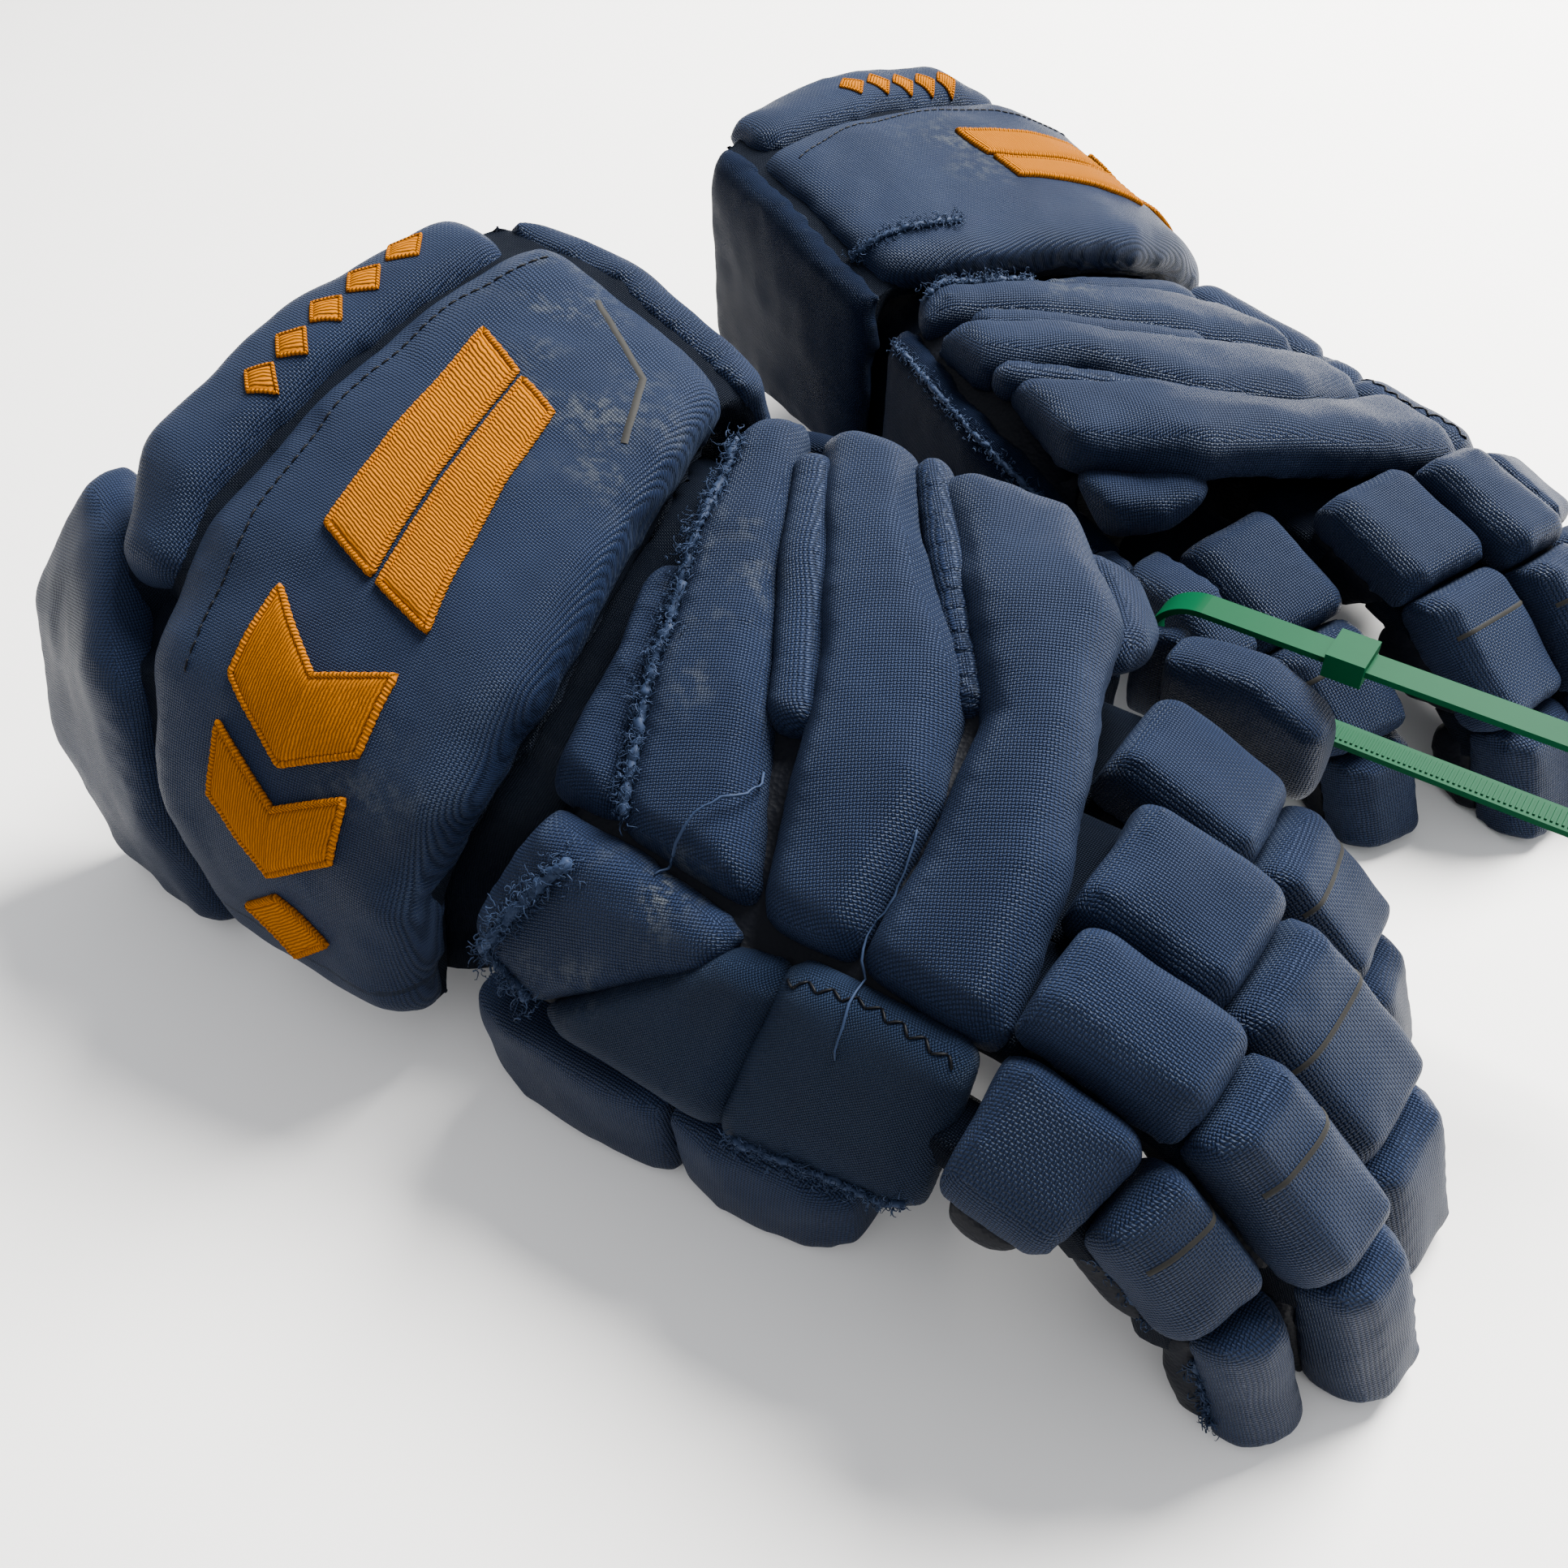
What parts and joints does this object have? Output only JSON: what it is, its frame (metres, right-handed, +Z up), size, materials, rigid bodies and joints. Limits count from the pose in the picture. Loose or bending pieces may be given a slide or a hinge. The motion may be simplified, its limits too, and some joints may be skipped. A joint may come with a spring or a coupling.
{
  "type": "pair of ice hockey gloves",
  "caption": "Pair of padded hockey gloves lying palm down with curled fingers, segmented rolls over the hand, flared cuffs and a looped cable tie.",
  "frame": {"origin": "centre of the pair's footprint on the table, under the bounding box", "axes": "+Z up from the table, +X from the cuffs towards the fingers, +Y from the left glove to the right glove"},
  "size_m": [0.3856, 0.4194, 0.1352],
  "materials": {
    "shell_nylon": "coarse woven navy nylon with a soft sheen, scuffed and frayed",
    "palm_leather": "soft dark palm leather, creased",
    "lining_fabric": "dark knitted lining",
    "tie_plastic": "glossy green moulded nylon"
  },
  "bodies": {
    "left_hand": {"left_wrist_roll": "shell_nylon", "left_roll_a": "shell_nylon", "left_roll_b": "shell_nylon", "left_roll_c": "shell_nylon", "left_knuckle_roll": "shell_nylon", "left_flex_inserts": "shell_nylon", "left_index_side_pads": "shell_nylon", "left_ulnar_side_pad": "shell_nylon", "left_hand_lining": "lining_fabric", "left_palm": "palm_leather", "cable_tie_strap": "tie_plastic", "cable_tie_head": "tie_plastic"},
    "left_cuff": {"left_cuff_roll": "shell_nylon", "left_cuff_rear_flap": "shell_nylon", "left_cuff_thumb_flap": "shell_nylon", "left_cuff_ulnar_panel": "shell_nylon", "left_cuff_lining": "lining_fabric"},
    "left_thumb_base": {"left_thumb_base": "shell_nylon"},
    "left_thumb_tip": {"left_thumb_tip": "shell_nylon"},
    "left_index_base": {"left_index_base": "shell_nylon"},
    "left_index_middle": {"left_index_middle": "shell_nylon"},
    "left_index_tip": {"left_index_tip": "shell_nylon"},
    "left_middle_base": {"left_middle_base": "shell_nylon"},
    "left_middle_middle": {"left_middle_middle": "shell_nylon"},
    "left_middle_tip": {"left_middle_tip": "shell_nylon"},
    "left_ring_base": {"left_ring_base": "shell_nylon"},
    "left_ring_middle": {"left_ring_middle": "shell_nylon"},
    "left_ring_tip": {"left_ring_tip": "shell_nylon"},
    "left_little_base": {"left_little_base": "shell_nylon"},
    "left_little_middle": {"left_little_middle": "shell_nylon"},
    "left_little_tip": {"left_little_tip": "shell_nylon"},
    "right_hand": {"right_wrist_roll": "shell_nylon", "right_roll_a": "shell_nylon", "right_roll_b": "shell_nylon", "right_roll_c": "shell_nylon", "right_knuckle_roll": "shell_nylon", "right_flex_inserts": "shell_nylon", "right_index_side_pads": "shell_nylon", "right_ulnar_side_pad": "shell_nylon", "right_hand_lining": "lining_fabric", "right_palm": "palm_leather"},
    "right_cuff": {"right_cuff_roll": "shell_nylon", "right_cuff_rear_flap": "shell_nylon", "right_cuff_thumb_flap": "shell_nylon", "right_cuff_ulnar_panel": "shell_nylon", "right_cuff_lining": "lining_fabric"},
    "right_thumb_base": {"right_thumb_base": "shell_nylon"},
    "right_thumb_tip": {"right_thumb_tip": "shell_nylon"},
    "right_index_base": {"right_index_base": "shell_nylon"},
    "right_index_middle": {"right_index_middle": "shell_nylon"},
    "right_index_tip": {"right_index_tip": "shell_nylon"},
    "right_middle_base": {"right_middle_base": "shell_nylon"},
    "right_middle_middle": {"right_middle_middle": "shell_nylon"},
    "right_middle_tip": {"right_middle_tip": "shell_nylon"},
    "right_ring_base": {"right_ring_base": "shell_nylon"},
    "right_ring_middle": {"right_ring_middle": "shell_nylon"},
    "right_ring_tip": {"right_ring_tip": "shell_nylon"},
    "right_little_base": {"right_little_base": "shell_nylon"},
    "right_little_middle": {"right_little_middle": "shell_nylon"},
    "right_little_tip": {"right_little_tip": "shell_nylon"}
  },
  "joints": [
    {"name": "left_wrist_flex", "type": "hinge", "parent": "left_hand", "child": "left_cuff", "pos_m": [-0.04223, -0.12532, 0.052], "axis": [0, -1, 0], "range_deg": [-3, 8]},
    {"name": "left_thumb_spread", "type": "hinge", "parent": "left_hand", "child": "left_thumb_base", "pos_m": [-0.02523, -0.18732, 0.02], "axis": [0, 0, -1], "range_deg": [0, 12]},
    {"name": "left_thumb_tip_bend", "type": "hinge", "parent": "left_thumb_base", "child": "left_thumb_tip", "pos_m": [0.02557, -0.20082, 0.02], "axis": [0, 0, -1], "range_deg": [0, 9.6]},
    {"name": "left_index_base_curl", "type": "hinge", "parent": "left_hand", "child": "left_index_base", "pos_m": [0.09021, -0.17732, 0.0671], "axis": [0, 1, 0], "range_deg": [-13, 16]},
    {"name": "left_index_middle_curl", "type": "hinge", "parent": "left_index_base", "child": "left_index_middle", "pos_m": [0.11949, -0.17732, 0.0596], "axis": [0, 1, 0], "range_deg": [-11.7, 14.4]},
    {"name": "left_index_tip_curl", "type": "hinge", "parent": "left_index_middle", "child": "left_index_tip", "pos_m": [0.14228, -0.17732, 0.03589], "axis": [0, 1, 0], "range_deg": [-9.1, 11.2]},
    {"name": "left_middle_base_curl", "type": "hinge", "parent": "left_hand", "child": "left_middle_base", "pos_m": [0.091, -0.15057, 0.07813], "axis": [0, 1, 0], "range_deg": [-13, 16]},
    {"name": "left_middle_middle_curl", "type": "hinge", "parent": "left_middle_base", "child": "left_middle_middle", "pos_m": [0.12667, -0.15057, 0.06749], "axis": [0, 1, 0], "range_deg": [-11.7, 14.4]},
    {"name": "left_middle_tip_curl", "type": "hinge", "parent": "left_middle_middle", "child": "left_middle_tip", "pos_m": [0.15525, -0.15057, 0.03782], "axis": [0, 1, 0], "range_deg": [-9.1, 11.2]},
    {"name": "left_ring_base_curl", "type": "hinge", "parent": "left_hand", "child": "left_ring_base", "pos_m": [0.08589, -0.12007, 0.07715], "axis": [0, 1, 0], "range_deg": [-13, 16]},
    {"name": "left_ring_middle_curl", "type": "hinge", "parent": "left_ring_base", "child": "left_ring_middle", "pos_m": [0.11963, -0.12007, 0.06635], "axis": [0, 1, 0], "range_deg": [-11.7, 14.4]},
    {"name": "left_ring_tip_curl", "type": "hinge", "parent": "left_ring_middle", "child": "left_ring_tip", "pos_m": [0.15011, -0.12007, 0.03703], "axis": [0, 1, 0], "range_deg": [-9.1, 11.2]},
    {"name": "left_little_base_curl", "type": "hinge", "parent": "left_hand", "child": "left_little_base", "pos_m": [0.07238, -0.08032, 0.07024], "axis": [0, 1, 0], "range_deg": [-13, 16]},
    {"name": "left_little_middle_curl", "type": "hinge", "parent": "left_little_base", "child": "left_little_middle", "pos_m": [0.10681, -0.08032, 0.05558], "axis": [0, 1, 0], "range_deg": [-11.7, 14.4]},
    {"name": "left_little_tip_curl", "type": "hinge", "parent": "left_little_middle", "child": "left_little_tip", "pos_m": [0.13203, -0.08032, 0.03144], "axis": [0, 1, 0], "range_deg": [-9.1, 11.2]},
    {"name": "right_wrist_flex", "type": "hinge", "parent": "right_hand", "child": "right_cuff", "pos_m": [-0.03857, 0.09505, 0.04004], "axis": [-0.3746, -0.9272, 0], "range_deg": [-3, 8]},
    {"name": "right_thumb_spread", "type": "hinge", "parent": "right_hand", "child": "right_thumb_base", "pos_m": [-0.00237, 0.13927, 0.0154], "axis": [0, 0, 1], "range_deg": [0, 12]},
    {"name": "right_thumb_tip_bend", "type": "hinge", "parent": "right_thumb_base", "child": "right_thumb_tip", "pos_m": [0.04918, 0.13125, 0.0154], "axis": [0, 0, 1], "range_deg": [0, 9.6]},
    {"name": "right_index_base_curl", "type": "hinge", "parent": "right_hand", "child": "right_index_base", "pos_m": [0.10136, 0.08787, 0.05167], "axis": [0.3746, 0.9272, 0], "range_deg": [-13, 16]},
    {"name": "right_index_middle_curl", "type": "hinge", "parent": "right_index_base", "child": "right_index_middle", "pos_m": [0.12851, 0.0769, 0.04589], "axis": [0.3746, 0.9272, 0], "range_deg": [-11.7, 14.4]},
    {"name": "right_index_tip_curl", "type": "hinge", "parent": "right_index_middle", "child": "right_index_tip", "pos_m": [0.14964, 0.06836, 0.02763], "axis": [0.3746, 0.9272, 0], "range_deg": [-9.1, 11.2]},
    {"name": "right_middle_base_curl", "type": "hinge", "parent": "right_hand", "child": "right_middle_base", "pos_m": [0.09328, 0.06574, 0.06016], "axis": [0.3746, 0.9272, 0], "range_deg": [-13, 16]},
    {"name": "right_middle_middle_curl", "type": "hinge", "parent": "right_middle_base", "child": "right_middle_middle", "pos_m": [0.12635, 0.05238, 0.05197], "axis": [0.3746, 0.9272, 0], "range_deg": [-11.7, 14.4]},
    {"name": "right_middle_tip_curl", "type": "hinge", "parent": "right_middle_middle", "child": "right_middle_tip", "pos_m": [0.15285, 0.04168, 0.02912], "axis": [0.3746, 0.9272, 0], "range_deg": [-9.1, 11.2]},
    {"name": "right_ring_base_curl", "type": "hinge", "parent": "right_hand", "child": "right_ring_base", "pos_m": [0.07849, 0.04277, 0.0594], "axis": [0.3746, 0.9272, 0], "range_deg": [-13, 16]},
    {"name": "right_ring_middle_curl", "type": "hinge", "parent": "right_ring_base", "child": "right_ring_middle", "pos_m": [0.10977, 0.03013, 0.05109], "axis": [0.3746, 0.9272, 0], "range_deg": [-11.7, 14.4]},
    {"name": "right_ring_tip_curl", "type": "hinge", "parent": "right_ring_middle", "child": "right_ring_tip", "pos_m": [0.13803, 0.01871, 0.02851], "axis": [0.3746, 0.9272, 0], "range_deg": [-9.1, 11.2]},
    {"name": "right_little_base_curl", "type": "hinge", "parent": "right_hand", "child": "right_little_base", "pos_m": [0.05285, 0.0154, 0.05409], "axis": [0.3746, 0.9272, 0], "range_deg": [-13, 16]},
    {"name": "right_little_middle_curl", "type": "hinge", "parent": "right_little_base", "child": "right_little_middle", "pos_m": [0.08478, 0.0025, 0.0428], "axis": [0.3746, 0.9272, 0], "range_deg": [-11.7, 14.4]},
    {"name": "right_little_tip_curl", "type": "hinge", "parent": "right_little_middle", "child": "right_little_tip", "pos_m": [0.10816, -0.00694, 0.02421], "axis": [0.3746, 0.9272, 0], "range_deg": [-9.1, 11.2]},
    {"name": "right_glove_slide", "type": "slide", "parent": "left_hand", "child": "right_hand", "axis": [0, 1, 0], "range_m": [0, 0.03]}
  ],
  "couplings": [
    {"joint": "left_thumb_tip_bend", "follows": "left_thumb_spread", "ratio": 0.8},
    {"joint": "left_index_middle_curl", "follows": "left_index_base_curl", "ratio": 0.9},
    {"joint": "left_index_tip_curl", "follows": "left_index_base_curl", "ratio": 0.7},
    {"joint": "left_middle_middle_curl", "follows": "left_middle_base_curl", "ratio": 0.9},
    {"joint": "left_middle_tip_curl", "follows": "left_middle_base_curl", "ratio": 0.7},
    {"joint": "left_ring_middle_curl", "follows": "left_ring_base_curl", "ratio": 0.9},
    {"joint": "left_ring_tip_curl", "follows": "left_ring_base_curl", "ratio": 0.7},
    {"joint": "left_little_middle_curl", "follows": "left_little_base_curl", "ratio": 0.9},
    {"joint": "left_little_tip_curl", "follows": "left_little_base_curl", "ratio": 0.7},
    {"joint": "right_thumb_tip_bend", "follows": "right_thumb_spread", "ratio": 0.8},
    {"joint": "right_index_middle_curl", "follows": "right_index_base_curl", "ratio": 0.9},
    {"joint": "right_index_tip_curl", "follows": "right_index_base_curl", "ratio": 0.7},
    {"joint": "right_middle_middle_curl", "follows": "right_middle_base_curl", "ratio": 0.9},
    {"joint": "right_middle_tip_curl", "follows": "right_middle_base_curl", "ratio": 0.7},
    {"joint": "right_ring_middle_curl", "follows": "right_ring_base_curl", "ratio": 0.9},
    {"joint": "right_ring_tip_curl", "follows": "right_ring_base_curl", "ratio": 0.7},
    {"joint": "right_little_middle_curl", "follows": "right_little_base_curl", "ratio": 0.9},
    {"joint": "right_little_tip_curl", "follows": "right_little_base_curl", "ratio": 0.7}
  ]
}
